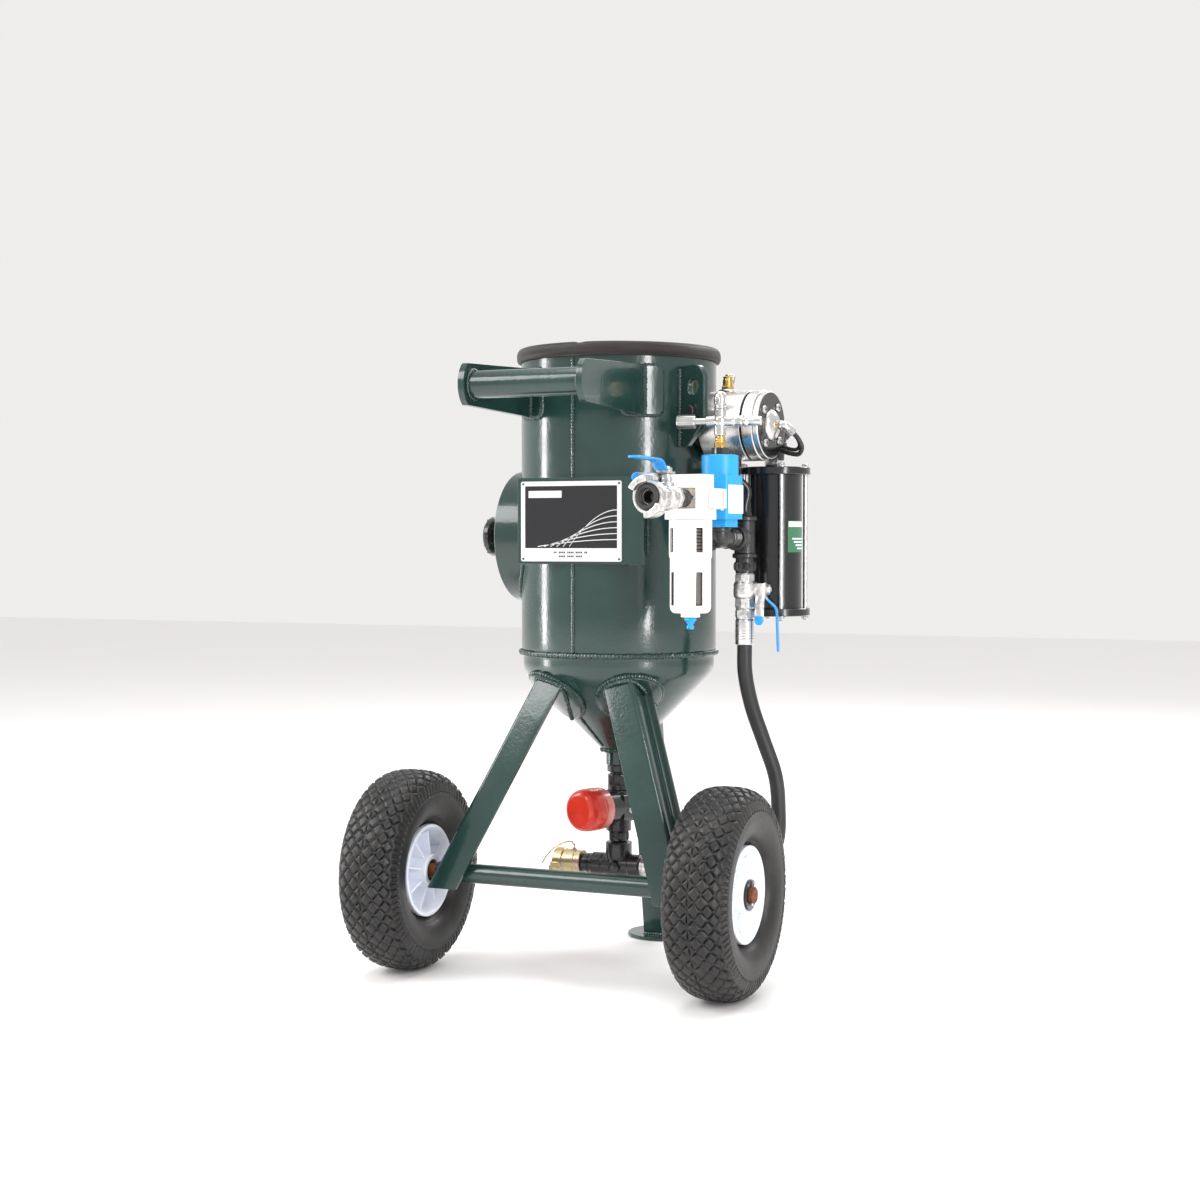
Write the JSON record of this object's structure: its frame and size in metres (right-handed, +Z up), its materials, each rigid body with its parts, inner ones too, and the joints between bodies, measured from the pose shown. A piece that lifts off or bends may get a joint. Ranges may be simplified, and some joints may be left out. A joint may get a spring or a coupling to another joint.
{
  "type": "portable abrasive blast pot",
  "caption": "Wheeled pressure vessel with a cone bottom, fill funnel, pull handle, air filter, valves, silencer, side hose and metering outlet.",
  "frame": {"origin": "on the ground under the middle of the bounding box of everything but the hose", "axes": "+Z up along the vessel; +X along the axle towards the control gear; -Y towards the handle and the wheels"},
  "size_m": [0.522, 0.515, 0.813],
  "materials": {
    "green_paint": "gloss dark green, slightly textured",
    "white_plastic": "satin off-white",
    "rim_white": "satin white",
    "clear_bowl": "translucent beige",
    "blue_plastic": "satin sky blue",
    "blue_lever": "blue dipped sleeve on plated steel",
    "red_plastic": "gloss orange red",
    "tyre_rubber": "matte black tread",
    "black_rubber": "matte black",
    "iron": "black malleable iron",
    "black_paint": "satin black",
    "chrome_plate": "nickel plated, satin",
    "stainless": "turned stainless",
    "brass": "machined",
    "zinc": "yellow passivated zinc",
    "plate_metal": "thin printed plate",
    "axle_steel": "bare, lightly rusted"
  },
  "bodies": {
    "pot": {"vessel_shell": "green_paint", "handhole_neck": "green_paint", "handhole_cover": "green_paint", "handhole_yoke": "black_paint", "fill_dish": "green_paint", "air_riser": "stainless", "rim_trim": "black_rubber", "handle_plate_left": "green_paint", "handle_plate_right": "green_paint", "handle_tube": "green_paint", "lug_plate": "green_paint", "plate_bracket": "green_paint", "name_plate": "plate_metal", "leg_left": "green_paint", "leg_right": "green_paint", "leg_rear": "green_paint", "axle_tube": "green_paint", "axle": "axle_steel", "filter_head": "white_plastic", "filter_link": "white_plastic", "filter_guard": "white_plastic", "filter_bowl": "clear_bowl", "inlet_nipple": "iron", "inlet_valve": "chrome_plate", "inlet_coupling": "chrome_plate", "coupling_seal": "black_rubber", "pilot_valve": "blue_plastic", "brass_fitting": "brass", "control_cross": "chrome_plate", "valve_flange": "iron", "valve_cylinder": "stainless", "end_cap": "black_paint", "cap_elbow": "chrome_plate", "signal_tube": "black_rubber", "safety_valve": "brass", "muffler_frame": "black_paint", "muffler_body": "black_paint", "exhaust_elbow": "iron", "supply_pipework": "iron", "hose_valve": "chrome_plate", "hose_ferrule": "chrome_plate", "supply_hose": "black_rubber", "outlet_nipple": "iron", "sand_valve": "iron", "outlet_tee": "iron", "hose_tail": "chrome_plate", "blast_coupling": "zinc"},
    "wheel_left": {"tyre_left": "tyre_rubber", "rim_left": "rim_white"},
    "wheel_right": {"tyre_right": "tyre_rubber", "rim_right": "rim_white"},
    "popup": {"popup_valve": "black_rubber"},
    "door_knob": {"handhole_knob": "black_paint"},
    "inlet_handle": {"inlet_lever": "blue_lever"},
    "hose_handle": {"hose_lever": "blue_lever"},
    "drain": {"filter_drain": "blue_plastic"},
    "bleed": {"bleed_cap": "chrome_plate"},
    "pull_ring": {"safety_ring": "stainless"},
    "meter": {"meter_knob": "red_plastic"},
    "clip": {"coupling_clip": "stainless"}
  },
  "joints": [
    {"name": "wheel_left_spin", "type": "hinge", "parent": "pot", "child": "wheel_left", "pos_m": [-0.22, -0.1275, 0.13], "axis": [1, 0, 0], "continuous": true},
    {"name": "wheel_right_spin", "type": "hinge", "parent": "pot", "child": "wheel_right", "pos_m": [0.22, -0.1275, 0.13], "axis": [1, 0, 0], "continuous": true},
    {"name": "popup_lift", "type": "slide", "parent": "pot", "child": "popup", "axis": [0, 0, 1], "range_m": [0, 0.0085]},
    {"name": "door_knob_turn", "type": "hinge", "parent": "pot", "child": "door_knob", "pos_m": [-0.17, 0.0505, 0.565], "axis": [-1, 0, 0], "continuous": true},
    {"name": "inlet_handle_turn", "type": "hinge", "parent": "pot", "child": "inlet_handle", "pos_m": [0.16046, -0.17174, 0.641], "axis": [0, 0, 1], "range_deg": [-90, 0]},
    {"name": "hose_handle_turn", "type": "hinge", "parent": "pot", "child": "hose_handle", "pos_m": [0.18819, 0.02562, 0.4962], "axis": [0.9707, 0.2402, 0], "range_deg": [-90, 0]},
    {"name": "drain_turn", "type": "hinge", "parent": "pot", "child": "drain", "pos_m": [0.1685, -0.1145, 0.46], "axis": [0, 0, 1], "range_deg": [0, 180]},
    {"name": "bleed_turn", "type": "hinge", "parent": "pot", "child": "bleed", "pos_m": [0.17894, -0.04023, 0.735], "axis": [0, 0, 1], "continuous": true},
    {"name": "pull_ring_lift", "type": "slide", "parent": "pot", "child": "pull_ring", "axis": [0, 0, 1], "range_m": [0, 0.003], "stiffness_N_per_m": 400},
    {"name": "meter_turn", "type": "hinge", "parent": "pot", "child": "meter", "pos_m": [-0.0171, 0.00352, 0.203], "axis": [-0.342, -0.9397, 0], "continuous": true},
    {"name": "clip_pull", "type": "slide", "parent": "pot", "child": "clip", "axis": [0, 0, 1], "range_m": [0, 0.009]}
  ]
}
